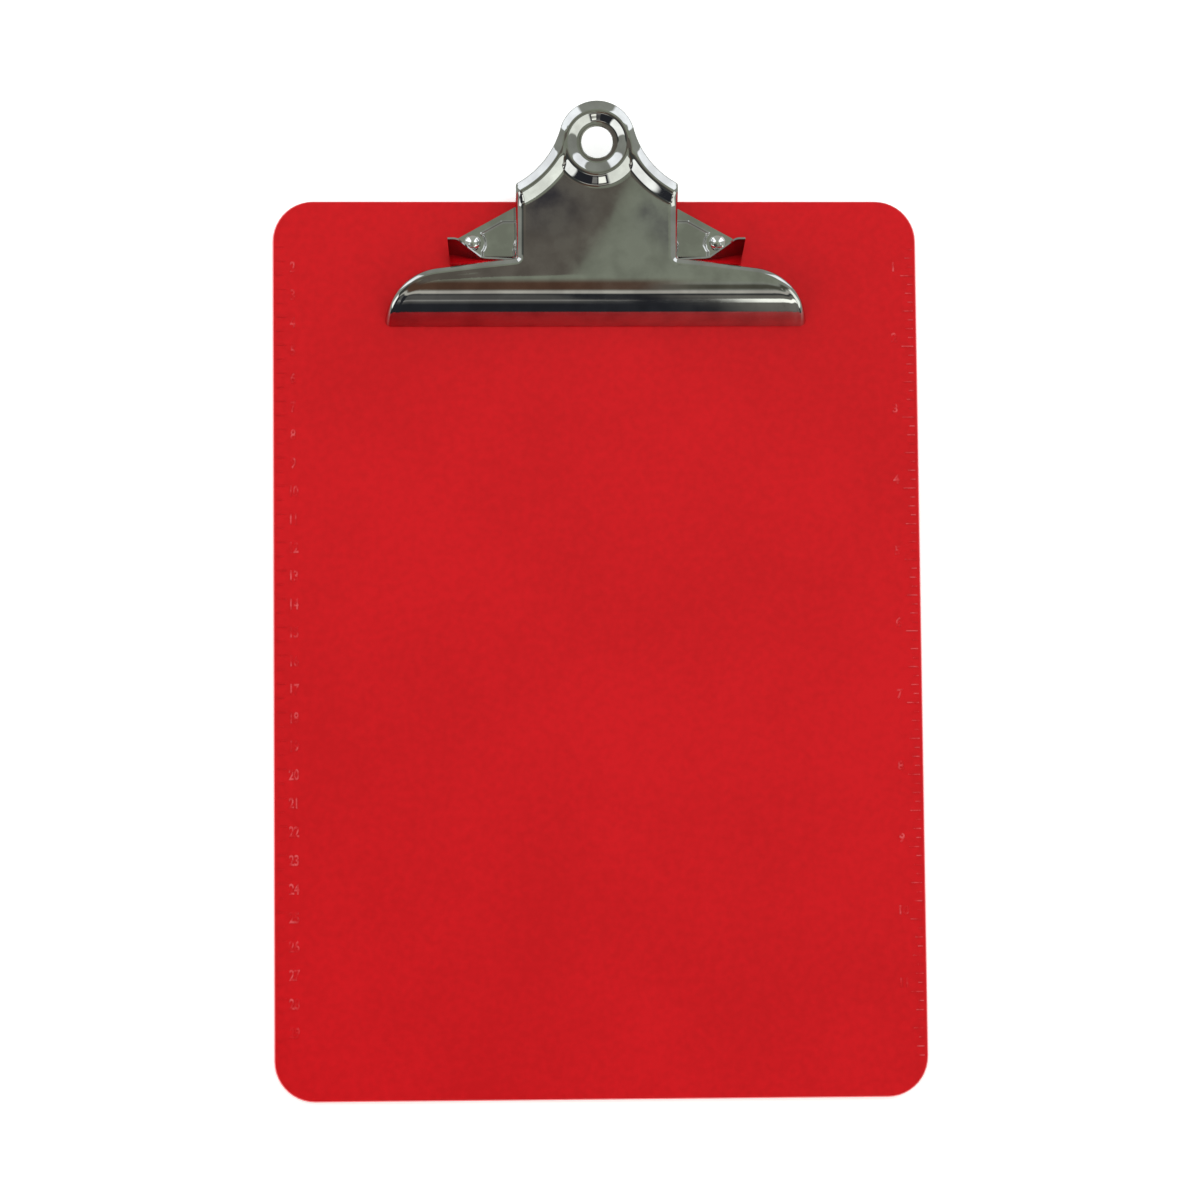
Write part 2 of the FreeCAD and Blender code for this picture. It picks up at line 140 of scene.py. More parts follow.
def window(tree, value, low, high, soft):
    """1 where value is between low and high, falling to 0 over soft on either side."""
    sides = []
    for edge, before, after in ((low, 0.0, 1.0), (high, 1.0, 0.0)):
        side = add_node(
            tree, "ShaderNodeMapRange",
            {"Value": value, "From Min": edge - soft, "From Max": edge + soft,
             "To Min": before, "To Max": after},
            interpolation_type="SMOOTHSTEP",
        )
        sides.append(side.outputs[0])
    return product(tree, sides)


def noise(tree, place, scale, detail):
    inputs = {"Vector": place, "Scale": scale, "Detail": detail}
    return add_node(tree, "ShaderNodeTexNoise", inputs).outputs[0]


def remap(tree, value, start, end, low, high):
    """Value carried from the range start to end over to the range low to high."""
    inputs = {"Value": value, "From Min": start, "From Max": end, "To Min": low, "To Max": high}
    return add_node(tree, "ShaderNodeMapRange", inputs).outputs[0]


def two_tone(tree, value, places, colours):
    """Colours that change from the first to the second as value goes between two places."""
    ramp = add_node(tree, "ShaderNodeValToRGB", {"Fac": value})
    for element, place, colour in zip(ramp.color_ramp.elements, places, colours):
        element.position = place
        element.color = (*colour, 1)
    return ramp.outputs[0]


def add_bump(tree, shader, height, strength, distance):
    """Gives a surface the look of a small relief, up to a distance in metres."""
    inputs = {"Height": height, "Strength": strength, "Distance": distance}
    bump = add_node(tree, "ShaderNodeBump", inputs)
    tree.links.new(bump.outputs[0], shader.inputs["Normal"])


# What the polished steel reflects: walls, a ceiling, four tall soft boxes and, towards the
# front, the dark end of the room. A part is a product of windows, each (what, low, high, soft),
# and a colour. "turn" is the compass angle (0 is +X, 90 is +Y), "down" the angle from straight
# up, "x" and "y" are the direction itself, and "slant" is a line across the ceiling a little off
# the Y axis.
WALLS = (0.36, 0.38, 0.34)
SLANT = 0.3
STUDIO_PARTS = (
    ("ceiling", (("down", -9, 24, 8.0),), (0.30, 0.33, 0.26)),
    ("left ceiling",
     (("slant", -0.40, 0.0802, 0.0012), ("y", -0.70, 0.03, 0.03), ("down", -9, 44, 3)),
     (0.165, 0.148, 0.125)),
    ("camera", (("x", 0.033, 0.042, 0.002), ("y", -0.095, -0.088, 0.002)), (0.045, 0.045, 0.060)),
    ("tripod", (("x", 0.063, 0.067, 0.0015), ("y", -0.103, -0.093, 0.0025)), (0.13, 0.13, 0.14)),
    ("front left beam", (("turn", 186, 262, 5), ("down", 19, 47, 4)), (0.060, 0.066, 0.060)),
    ("brown beam",
     (("down", 18, 90, 7), ("down", -9, 39, 3), ("x", -0.09, 0.064, 0.012), ("y", -0.9, 0.0, 0.05)),
     (0.125, 0.068, 0.045)),
    ("right beam", (("down", 27, 38, 3.0), ("x", 0.064, 0.36, 0.008), ("y", -0.9, 0.0, 0.05)),
     (0.11, 0.11, 0.085)),
    ("front dark", (("turn", 230, 300, 4), ("down", 47, 100, 2.0)), (0.028, 0.030, 0.036)),
    ("front line", (("turn", 252, 290, 5), ("down", 40.5, 46.5, 1.4)), (0.62, 0.60, 0.54)),
    ("front left grey", (("turn", 266, 273.2, 0.4), ("down", 49, 69, 4.0)), (0.13, 0.13, 0.125)),
    ("front left line", (("turn", 266, 273.4, 0.4), ("down", 61, 64, 1.5)), (0.36, 0.36, 0.34)),
    ("front right grey", (("turn", 274.8, 286, 0.8), ("down", 51, 92, 3.0)), (0.22, 0.215, 0.19)),
    ("front right line", (("turn", 275.3, 286, 0.6), ("down", 59.5, 68.0, 1.2)), (1.75, 1.80, 1.65)),
    ("back left box", (("turn", 116, 153, 2.5), ("down", 26, 84, 2.5)), (1.5, 1.57, 1.62)),
    ("back right box", (("turn", 26, 59, 2.5), ("down", 26, 84, 2.5)), (1.5, 1.57, 1.62)),
    ("front right box", (("turn", 290, 342, 2.5), ("down", 33, 80, 2.5)), (1.35, 1.42, 1.30)),
    ("front left box", (("turn", 198, 238, 2.5), ("down", 45, 80, 2.5)), (1.6, 1.65, 1.6)),
)
BACKDROP = (0.97, 0.97, 0.97)


def look_measures(tree):
    """The direction a ray looks in, by each of the measures that the studio's windows use."""
    towards = add_node(tree, "ShaderNodeTexCoord").outputs["Generated"]
    x, y, z = add_node(tree, "ShaderNodeSeparateXYZ", {0: towards}).outputs
    compass = math_node(tree, "ARCTAN2", y, x)
    degrees = math_node(tree, "MULTIPLY", compass, 180 / math.pi)
    tilt = math_node(tree, "ARCCOSINE", z)
    return {
        "x": x,
        "y": y,
        "turn": math_node(tree, "FLOORED_MODULO", degrees, 360.0),
        "down": math_node(tree, "MULTIPLY", tilt, 180 / math.pi),
        "slant": math_node(tree, "SUBTRACT", x, math_node(tree, "MULTIPLY", y, SLANT)),
    }


def make_world():
    """The studio seen in the steel, and a plain pale backdrop for the camera itself."""
    world = bpy.data.worlds.new("studio")
    bpy.context.scene.world = world
    world.use_nodes = True
    tree = world.node_tree
    tree.nodes.clear()
    measures = look_measures(tree)
    colour = (*WALLS, 1)
    for name, windows, shade in STUDIO_PARTS:
        masks = [window(tree, measures[what], *limits) for what, *limits in windows]
        inputs = {0: product(tree, masks), 1: colour, 2: (*shade, 1)}
        mixer = add_node(tree, "ShaderNodeMixRGB", inputs, label=name)
        colour = mixer.outputs[0]
    seen = add_node(tree, "ShaderNodeBackground", {"Color": (*BACKDROP, 1)})
    reflected = add_node(tree, "ShaderNodeBackground", {"Color": colour})
    path = add_node(tree, "ShaderNodeLightPath")
    choose = add_node(
        tree, "ShaderNodeMixShader",
        {0: path.outputs["Is Camera Ray"], 1: reflected.outputs[0], 2: seen.outputs[0]},
    )
    output = add_node(tree, "ShaderNodeOutputWorld")
    tree.links.new(choose.outputs[0], output.inputs["Surface"])


# Square lamps aimed at the middle of the board: name, place, side and power, in metres and watts.
SOFT_LAMPS = (
    ("overhead", (0.3, 0.5, 1.9), 1.6, 14.0),
    ("side", (-1.0, -0.9, 1.4), 1.2, 9.0),
    ("back", (-0.2, 1.5, 1.1), 1.2, 4.0),
)
BOUNCE_LENGTH = 0.10
BOUNCE_WIDTH = 0.008
BOUNCE_SETBACK = 0.016
BOUNCE_POWER = 0.009


def add_lamp(name, place, size, power):
    """An area lamp that neither the camera nor the steel can see."""
    data = bpy.data.lights.new(name, "AREA")
    data.size = size
    data.energy = power
    lamp = bpy.data.objects.new(name, data)
    lamp.location = place
    lamp.visible_glossy = False
    lamp.visible_camera = False
    bpy.context.scene.collection.objects.link(lamp)
    return lamp


def make_soft_lamps():
    """The lamps that light the board, from above, from one side and from the back."""
    for name, place, size, power in SOFT_LAMPS:
        lamp = add_lamp(name, place, size, power)
        lamp.rotation_euler = (-Vector(place)).to_track_quat("-Z", "Y").to_euler()


def make_bounce_lamp():
    """A faint long lamp under the jaw, for the light that bounces about in there."""
    place = (0.0, pin_place.y - BOUNCE_SETBACK, pin_place.z)
    lamp = add_lamp("bounce", place, BOUNCE_LENGTH, BOUNCE_POWER)
    lamp.data.shape = "RECTANGLE"
    lamp.data.size_y = BOUNCE_WIDTH


# In metres.
FLOOR_HALF = 6.0
FLOOR_GAP = 0.0002
PAPER_SHADES = (0.90, 0.93)
PAPER_GLOW = 0.35


def floor_paper():
    """White paper that shines a little, so that it stays pale under the soft lamps."""
    material, tree, shader = new_material("floor_paper")
    grain = add_node(tree, "ShaderNodeTexNoise", {"Scale": 30.0, "Detail": 3.0})
    shade = remap(tree, grain.outputs[0], 0.0, 1.0, *PAPER_SHADES)
    tree.links.new(shade, shader.inputs["Base Color"])
    shader.inputs["Roughness"].default_value = 0.9
    shader.inputs["Emission Color"].default_value = (1.0, 1.0, 1.0, 1)
    shader.inputs["Emission Strength"].default_value = PAPER_GLOW
    return material


def make_floor():
    """A plain floor just below the board."""
    mesh = bpy.data.meshes.new("floor")
    half = FLOOR_HALF
    corners = [(-half, -half, 0), (half, -half, 0), (half, half, 0), (-half, half, 0)]
    mesh.from_pydata(corners, [], [(0, 1, 2, 3)])
    floor = bpy.data.objects.new("floor", mesh)
    floor.location.z = cad_low.z - FLOOR_GAP
    bpy.context.scene.collection.objects.link(floor)
    mesh.materials.append(floor_paper())
    floor.visible_glossy = False


make_camera()
make_world()
make_soft_lamps()
make_bounce_lamp()
make_floor()
bpy.context.scene.view_settings.view_transform = "Standard"

# ---------------------------------------------------------------- materials

# Above this level, in metres, there are only the rulers' raised marks.
MARK_LEVEL = (BOARD_TOP + 0.02) * MM
# The left ruler's ticks start and end this far from the board's edge, in millimetres.
TICK_START = 0.7
TICK_END = 4.6
MARK_BLUR = 0.00001
# How softly the painted glints stop at the left ruler's ticks, in metres.
UNGLINTED_TICK_BLUR = 0.0002
DEEP_RED = (0.468, 0.0006, 0.0040)
BRIGHT_RED = (0.546, 0.0016, 0.0060)
# The pale red of the painted highlights and glints.
HIGHLIGHT_RED = (0.95, 0.26, 0.28)
HAZY_TINT = (0.80, 0.79, 0.78)
CLEAR_TINT = (1.0, 1.0, 0.985)


def cloudy_red(tree, place):
    """Slow clouds and a fine mottle between two reds."""
    clouds = noise(tree, place, 14.0, 4.0)
    mottle = noise(tree, place, 420.0, 3.0)
    shade = math_node(tree, "MULTIPLY", math_node(tree, "ADD", clouds, mottle), 0.5)
    return two_tone(tree, shade, (0.38, 0.62), (DEEP_RED, BRIGHT_RED))


def glowing_edges(tree, z):
    """Painted highlight: 1 on the board's rounded edges, where the normal tilts from straight up,
    but not at its far end or on the raised marks.
    """
    normal = add_node(tree, "ShaderNodeNewGeometry").outputs["Normal"]
    _, back, up = add_node(tree, "ShaderNodeSeparateXYZ", {0: normal}).outputs
    return product(tree, (
        window(tree, up, 0.16, 0.86, 0.10),
        window(tree, back, -2, 0.5, 0.1),
        window(tree, z, -1.0, MARK_LEVEL, MARK_BLUR),
    ))


def rubbed_marks(tree, place, x, z):
    """Painted glints: pale spots on the rulers' raised marks, except on the left ruler's ticks."""
    spots = remap(tree, noise(tree, place, 380.0, 2.0), 0.44, 0.64, 0.01, 0.26)
    ticks = [(side - BOARD_HALF) * MM for side in (TICK_START, TICK_END)]
    kept = math_node(tree, "SUBTRACT", 1.0, window(tree, x, *ticks, UNGLINTED_TICK_BLUR))
    return product(tree, (spots, window(tree, z, MARK_LEVEL, 1.0, MARK_BLUR), kept))


def red_plastic():
    """Moulded red plastic with a fine leathery texture and faint clouds, with a painted pale
    highlight on its edges and painted glints on the rulers' marks.
    """
    material, tree, shader = new_material("board_plastic")
    place = add_node(tree, "ShaderNodeTexCoord").outputs["Object"]
    x, _, z = add_node(tree, "ShaderNodeSeparateXYZ", {0: place}).outputs
    painted_highlights = math_node(tree, "MAXIMUM", glowing_edges(tree, z), rubbed_marks(tree, place, x, z))
    inputs = {0: painted_highlights, 1: cloudy_red(tree, place), 2: (*HIGHLIGHT_RED, 1)}
    colour = add_node(tree, "ShaderNodeMixRGB", inputs).outputs[0]
    tree.links.new(colour, shader.inputs["Base Color"])
    shader.inputs["Specular IOR Level"].default_value = 0.22
    flecks = noise(tree, place, 900.0, 2.0)
    tree.links.new(remap(tree, flecks, 0.3, 0.7, 0.28, 0.40), shader.inputs["Roughness"])
    add_bump(tree, shader, flecks, 0.25, 0.00008)
    return material


def polished_steel(name, tone, wave):
    """Nickel-plated sheet: mirror-like, a little hazy, with faint long waves from the press."""
    material, tree, shader = new_material(name)
    place = add_node(tree, "ShaderNodeTexCoord").outputs["Object"]
    shader.inputs["Metallic"].default_value = 1.0
    haze = noise(tree, place, 110.0, 4.0)
    tints = [[tone * share for share in tint] for tint in (HAZY_TINT, CLEAR_TINT)]
    tree.links.new(two_tone(tree, haze, (0.36, 0.58), tints), shader.inputs["Base Color"])
    tree.links.new(remap(tree, haze, 0.3, 0.7, 0.025, 0.060), shader.inputs["Roughness"])
    add_bump(tree, shader, noise(tree, place, 45.0, 1.0), wave, 0.0004)
    return material


PLASTIC = red_plastic()
STEEL = polished_steel("plated_steel", 0.58, 0.025)
RIVET_STEEL = polished_steel("rivet_steel", 0.80, 0.01)
WIRE = polished_steel("spring_wire", 0.42, 0.01)


def finish_node(name, material):
    """Gives a CAD node its material."""
    mesh = nodes[name].data
    mesh.materials.clear()
    mesh.materials.append(material)


finish_node("board", PLASTIC)
finish_node("washer_left", RIVET_STEEL)
finish_node("washer_right", RIVET_STEEL)

# ---------------------------------------------------------------- pressed steel sheet

# Lengths from here on are in millimetres.
SHEET = 1.0
EDGE_ROUND = 0.12
SHARP_EDGE = math.radians(60)
BEND_STEPS = 7
WALL_STEPS = 4
WELD = 0.004


def soft_max(first, second, blend):
    """The larger of two heights, with the crease between them rounded off by blend."""
    if blend <= 0:
        return max(first, second)
    nearness = max(blend - abs(first - second), 0.0) / blend
    return max(first, second) + nearness * nearness * blend / 4


def smooth_step(value, low, high):
    share = min(max((value - low) / (high - low), 0.0), 1.0)
    return share * share * (3 - 2 * share)


def direction(angle):
    return Vector((math.cos(angle), math.sin(angle)))


def angle_of(vector):
    return math.atan2(vector.y, vector.x)


def arc(centre, radius, start, end, step):
    """Points of an outline round an arc, each with its outward direction.

    A negative radius makes a hollow stretch, whose centre is outside the sheet."""
    count = max(2, math.ceil(abs(radius * (end - start)) / step))
    angles = [start + (end - start) * n / count for n in range(count + 1)]
    return [(centre + direction(angle) * radius, direction(angle)) for angle in angles]


def straight(start, end, outward, step):
    """Points of an outline along a line, without its two ends."""
    count = max(2, math.ceil((end - start).length / step))
    return [(start.lerp(end, n / count), outward) for n in range(1, count)]


def lattice(low_x, high_x, low_y, high_y, step_x, step_y):
    """Staggered rows of points that fill a rectangle."""
    rows = math.ceil((high_y - low_y) / step_y)
    columns = math.ceil((high_x - low_x) / step_x)
    for row in range(rows + 1):
        shift = step_x / 2 if row % 2 else 0.0
        for column in range(columns + 1):
            yield Vector((low_x + shift + column * step_x, low_y + row * step_y))


def fill_outline(outline, holes, guides, inner_points, clearance):
    """Triangles that fill a closed outline, through guide points and through other points
    that keep clear of the guides and of the edges."""
    fixed = list(outline)
    loops = [list(range(len(outline)))]
    for hole in holes:
        loops.append(list(range(len(fixed), len(fixed) + len(hole))))
        fixed += hole
    edges = [(loop[n - 1], loop[n]) for loop in loops for n in range(len(loop))]
    for group in (guides, inner_points):
        near = KDTree(len(fixed))
        for index, point in enumerate(fixed):
            near.insert(point.to_3d(), index)
        near.balance()
        fixed += [p for p in group if near.find(p.to_3d())[2] > clearance]
    points, _, faces, _, _, _ = delaunay_2d_cdt(fixed, edges, [loops[0]], 1, 1e-5)
    return points, faces


def add_strip(mesh, rows):
    """Quads between neighbouring rows of points."""
    made = [[mesh.verts.new(point) for point in row] for row in rows]
    for upper, lower in zip(made, made[1:]):
        for n in range(len(upper) - 1):
            mesh.faces.new((upper[n], lower[n], lower[n + 1], upper[n + 1]))


def smooth_object(name, mesh, material, closed=False):
    """A smooth-shaded object in metres from a mesh built in millimetres.

    An open sheet has its outer side up."""
    bmesh.ops.remove_doubles(mesh, verts=mesh.verts, dist=WELD)
    bmesh.ops.recalc_face_normals(mesh, faces=mesh.faces)
    facing = sum(face.normal.z * face.calc_area() for face in mesh.faces)
    if facing < 0 and not closed:
        bmesh.ops.reverse_faces(mesh, faces=mesh.faces)
    for face in mesh.faces:
        face.smooth = True
    for vert in mesh.verts:
        vert.co *= MM
    data = bpy.data.meshes.new(name)
    mesh.to_mesh(data)
    mesh.free()
    data.materials.append(material)
    made = bpy.data.objects.new(name, data)
    bpy.context.scene.collection.objects.link(made)
    return made


def thicken(piece, thickness, edge_round):
    """Gives a surface the sheet's thickness below it, with slightly rounded edges."""
    solid = piece.modifiers.new("sheet", "SOLIDIFY")
    solid.thickness = thickness * MM
    solid.offset = -1.0
    solid.use_even_offset = True
    bevel = piece.modifiers.new("edges", "BEVEL")
    bevel.width = edge_round * MM
    bevel.segments = 2
    bevel.limit_method = "ANGLE"
    bevel.angle_limit = SHARP_EDGE
    bevel.use_clamp_overlap = True
    bevel.harden_normals = True


# ---------------------------------------------------------------- the lever

# The lever's own frame, in millimetres: its flat body is on top at Z = 0, and Y is 0 where the
# jaw starts to curve down. The whole is tipped about the hinge pin.
LEVER_TILT = math.radians(8.0)
PIN_IN_LEVER = Vector((0.0, 10.0, -7.9))
BODY_HALF = 28.5
BODY_FOLD = 3.0
JAW_HALF = 74.7
JAW_UPPER_RADIUS = 19.0
JAW_LOWER_RADIUS = 30.0
JAW_UPPER_SWEEP = math.radians(42.0)
JAW_FULL_SWEEP = math.radians(57.0)
JAW_CORNER = 21.0
JAW_BACK = 5.9
JAW_BACK_SLOPE = math.radians(6.9)
JAW_RIM_ROUND = 2.2
JAW_RIM = 2.6
RING_BACK = 46.5
RING_CREST = 10.8
RING_OUTER = 13.4
RING_SHIFT = 1.2
HANG_HOLE_RADIUS = 5.5
SHOULDER_RADIUS = 31.0
SHOULDER_SIDE = 42.8
BEAD_INSET = 3.3
BEAD_HEIGHT = 2.05
RING_INNER_DROP = 1.75
RING_INNER_FOOT = 4.0
RING_OUTER_FOOT = 5.2
SHOULDER_FOOT = 4.8
BEAD_ROUND = 0.3
JUNCTION_ROUND = 1.5
JUNCTION_START = 2.0
JUNCTION_LOWEST = 0.4
SHOULDER_FADE = 4.0
BEAD_STEP = 0.4
CHEEK_EAR = 3.8
CHEEK_END = Vector((34.0, 3.2))
CUT_ROUND = 0.3
WING_CORNER = 0.8
CHEEK_CORNER = 1.2
CORNER_BEND = 0.9 * CHEEK_CORNER
CHEEK_TAPER = 5.0
LIP_CLEARANCE = 0.1
GROOVE_INSET = 2.7
GROOVE_HALF = 1.1
GROOVE_DEPTH = 0.10
RIM_ROWS = 10
RIM_STEP = 0.4
RIM_GUIDES_END = 30.0
LIP_STEP = 1.0
HOLE_STEP = 0.4
GUIDE_CLEARANCE = 0.32

HOLE_CENTRE = Vector((0.0, RING_BACK))
HOLE_EDGE = HANG_HOLE_RADIUS + CUT_ROUND
RING_CENTRE = Vector((0.0, RING_BACK + RING_SHIFT))
SHOULDER_CENTRE = Vector((
    SHOULDER_SIDE,
    RING_CENTRE.y + math.sqrt((RING_OUTER + SHOULDER_RADIUS) ** 2 - SHOULDER_SIDE ** 2),
))
JAW_TURN_Y = -JAW_UPPER_RADIUS * math.sin(JAW_UPPER_SWEEP)
LOWER_CENTRE_Y = (JAW_LOWER_RADIUS - JAW_UPPER_RADIUS) * math.sin(JAW_UPPER_SWEEP)
LOWER_CENTRE_Z = -JAW_UPPER_RADIUS - (
    (JAW_LOWER_RADIUS - JAW_UPPER_RADIUS) * math.cos(JAW_UPPER_SWEEP)
)
LIP_Y = LOWER_CENTRE_Y - JAW_LOWER_RADIUS * math.sin(JAW_FULL_SWEEP)


def jaw_angle(y):
    """How far the sheet has turned down from flat at y."""
    if y >= 0:
        return 0.0
    if y >= JAW_TURN_Y:
        return math.asin(-y / JAW_UPPER_RADIUS)
    return math.asin((LOWER_CENTRE_Y - y) / JAW_LOWER_RADIUS)


def jaw_height(y):
    """Top of the sheet: flat, then two arcs that roll down to the lip."""
    angle = jaw_angle(y)
    if y >= JAW_TURN_Y:
        return JAW_UPPER_RADIUS * (math.cos(angle) - 1)
    return LOWER_CENTRE_Z + JAW_LOWER_RADIUS * math.cos(angle)


def bead_distances(x, y):
    """Distances from the crests of the ring and of the nearer shoulder."""
    ring = math.hypot(x, y - RING_BACK) - RING_CREST
    place = Vector((abs(x), y)) - SHOULDER_CENTRE
    return ring, place.length - SHOULDER_RADIUS - BEAD_INSET


def shoulder_share(x, y):
    """1 along the shoulder beads, fading to 0 where they have run into the ring."""
    place = Vector((abs(x), y)) - SHOULDER_CENTRE
    start = (HOLE_CENTRE - SHOULDER_CENTRE).normalized()
    return smooth_step(start.cross(place), -SHOULDER_FADE, 0.0)


def bead_side(distance, drop, foot):
    """Height of a bead at a distance from its crest: an even slope, rounded at both ends."""
    share = min(abs(distance) / foot, 1.0)
    slope = 1 / (1 - BEAD_ROUND)
    if share < BEAD_ROUND:
        fall = slope * share ** 2 / (2 * BEAD_ROUND)
    elif share < 1 - BEAD_ROUND:
        fall = slope * (share - BEAD_ROUND / 2)
    else:
        fall = 1 - slope * (1 - share) ** 2 / (2 * BEAD_ROUND)
    return max(BEAD_HEIGHT - drop * fall, 0.0)


def bead_height(x, y):
    """The bead that rings the hole and runs along both shoulders, with rounded junctions."""
    if y < PIN_IN_LEVER.y:
        return 0.0
    ring, shoulder = bead_distances(x, y)
    if ring < 0:
        return bead_side(ring, RING_INNER_DROP, RING_INNER_FOOT)
    ring_side = bead_side(ring, BEAD_HEIGHT, RING_OUTER_FOOT)
    shoulder_side = bead_side(shoulder, BEAD_HEIGHT, SHOULDER_FOOT) * shoulder_share(x, y)
    blend = JUNCTION_ROUND * smooth_step(ring, 0.0, JUNCTION_START)
    blend *= smooth_step(min(ring_side, shoulder_side), 0.0, JUNCTION_LOWEST)
    return soft_max(ring_side, shoulder_side, blend)


def wing_back(x):
    """Where the straight back of a wing is, at a distance from the middle."""
    return JAW_BACK - (x - BODY_HALF) * math.tan(JAW_BACK_SLOPE)


def wing_groove(x, y):
    """A shallow valley just inside the bent rim along the back of each wing."""
    corner_x = JAW_HALF - JAW_CORNER
    if abs(x) < corner_x:
        inset = (wing_back(abs(x)) - y) * math.cos(JAW_BACK_SLOPE)
    else:
        corner_y = wing_back(corner_x) - JAW_CORNER
        inset = JAW_CORNER - math.hypot(abs(x) - corner_x, max(y - corner_y, 0.0))
    near = smooth_step(abs(x), BODY_HALF + 2.0, BODY_HALF + 16.0)
    distance = (inset - GROOVE_INSET) / GROOVE_HALF
    return -GROOVE_DEPTH * near * math.exp(-distance * distance)


def sheet_wave(x, y):
    """Slow dents that pressing leaves in a flat sheet."""
    long_wave = math.sin(x / 11.0 + 0.7) * math.sin(y / 9.0 + 1.9)
    short_wave = math.sin(x / 5.3 - y / 7.1)
    return -0.016 * (1 + long_wave) - 0.004 * (1 + short_wave)


def lever_top(place):
    """A point on the top of the lever over a point of its plan."""
    height = jaw_height(place.y) + bead_height(place.x, place.y)
    height += sheet_wave(place.x, place.y) + wing_groove(place.x, place.y)
    return Vector((place.x, place.y, height))


def cheek_depth(y):
    """How far a cheek reaches down: round the pin, then along a tangent to its back end."""
    span = CHEEK_END.x - PIN_IN_LEVER.y
    rise = -CHEEK_END.y - PIN_IN_LEVER.z
    touch = math.atan2(rise, span) - math.acos(CHEEK_EAR / math.hypot(span, rise))
    touch_y = PIN_IN_LEVER.y + CHEEK_EAR * math.cos(touch)
    touch_z = PIN_IN_LEVER.z + CHEEK_EAR * math.sin(touch)
    if y < touch_y:
        across = max(CHEEK_EAR ** 2 - (y - PIN_IN_LEVER.y) ** 2, 0.0)
        return -PIN_IN_LEVER.z + math.sqrt(across)
    share = (y - touch_y) / (CHEEK_END.x - touch_y)
    return -touch_z + (CHEEK_END.y + touch_z) * share


def wing_outline():
    """The jaw's round corner with the back of its wing, and the hollow corner at the body."""
    wing_out = direction(math.pi / 2 - JAW_BACK_SLOPE)
    corner_x = JAW_HALF - JAW_CORNER
    corner_y = wing_back(corner_x + wing_out.x * JAW_CORNER) - wing_out.y * JAW_CORNER
    lip_angle = math.asin((LIP_Y - corner_y) / JAW_CORNER)
    wing = arc(Vector((corner_x, corner_y)), JAW_CORNER, lip_angle, angle_of(wing_out), 0.6)
    inner_y = JAW_BACK + WING_CORNER * (1 - wing_out.x) / wing_out.y
    inner = Vector((BODY_HALF + WING_CORNER, inner_y))
    hollow = arc(inner, -WING_CORNER, angle_of(wing_out), 0.0, 0.2)
    wing += straight(wing[-1][0], hollow[0][0], wing_out, 0.8)
    return wing, hollow


def cheek_corner():
    """Centre of the small round corner where a cheek meets its shoulder."""
    across = SHOULDER_CENTRE.x - BODY_HALF + CHEEK_CORNER
    up = math.sqrt((SHOULDER_RADIUS + CHEEK_CORNER) ** 2 - across ** 2)
    return Vector((BODY_HALF - CHEEK_CORNER, SHOULDER_CENTRE.y - up))


def half_rim():
    """Right half of the lever's outline, from the lip to the top of the ring.

    Each item is a plan point, its outward direction, the bend's radius there and the depth of
    the wall below the bend."""
    wing, hollow = wing_outline()
    corner = cheek_corner()
    shoulder_start = angle_of(SHOULDER_CENTRE - corner)
    shoulder_end = angle_of(SHOULDER_CENTRE - RING_CENTRE)
    cheek = straight(hollow[-1][0], Vector((BODY_HALF, corner.y)), direction(0.0), 0.6)
    turn = arc(corner, CHEEK_CORNER, 0.0, shoulder_start, 0.2)
    shoulder = arc(SHOULDER_CENTRE, -SHOULDER_RADIUS, shoulder_start, shoulder_end, 0.45)
    ring = arc(RING_CENTRE, RING_OUTER, shoulder_end, math.pi / 2, 0.4)

    rim = [(place, out, JAW_RIM_ROUND, JAW_RIM) for place, out in wing]
    for n, (place, out) in enumerate(hollow):
        share = n / (len(hollow) - 1)
        bend = JAW_RIM_ROUND + (BODY_FOLD - JAW_RIM_ROUND) * share
        rim.append((place, out, bend, bend + JAW_RIM - JAW_RIM_ROUND))
    for place, out in cheek:
        share = smooth_step(place.y, corner.y - CHEEK_TAPER, corner.y)
        bend = BODY_FOLD + (CORNER_BEND - BODY_FOLD) * share
        rim.append((place, out, bend, cheek_depth(place.y)))
    for n, (place, out) in enumerate(turn):
        share = n / (len(turn) - 1)
        bend = CORNER_BEND + (CUT_ROUND - CORNER_BEND) * share
        wall = (cheek_depth(place.y) - bend) * (1 - smooth_step(share, 0.2, 1.0))
        rim.append((place, out, bend, bend + wall))
    rim += [(place, out, CUT_ROUND, CUT_ROUND) for place, out in shoulder[1:] + ring[1:]]
    return rim


def lever_rim():
    """The lever's whole outline: its right half, then the same mirrored."""
    right = half_rim()
    left = [(Vector((-p.x, p.y)), Vector((-o.x, o.y)), b, d) for p, o, b, d in reversed(right)]
    return right + left[1:]


def rim_rows(rim):
    """Rows of points from the top of the sheet, round its bent rim and down its wall."""
    rows = [[] for _ in range(BEND_STEPS + WALL_STEPS)]
    for place, out, bend, depth in rim:
        angle = jaw_angle(place.y)
        up = Vector((0.0, -math.sin(angle), math.cos(angle)))
        flat_out = out.to_3d()
        down = -(up - flat_out * up.dot(flat_out)).normalized()
        for n in range(BEND_STEPS):
            turn = math.pi / 2 * n / (BEND_STEPS - 1)
            top = lever_top(place - out * bend * (1 - math.sin(turn)))
            rows[n].append(top + down * bend * (1 - math.cos(turn)))
        edge = rows[BEND_STEPS - 1][-1]
        for n in range(WALL_STEPS):
            share = (n + 1) / WALL_STEPS
            rows[BEND_STEPS + n].append(edge + down * (depth - bend) * share)
    return rows


def lever_to_board(point):
    """From the lever's own frame to the board's, both in millimetres."""
    turned = Matrix.Rotation(LEVER_TILT, 3, "X") @ (point - PIN_IN_LEVER)
    return turned + pin_place / MM


def even_steps(start, end, step):
    """Values from start up to, but not past, end."""
    while start < end:
        yield start
        start += step


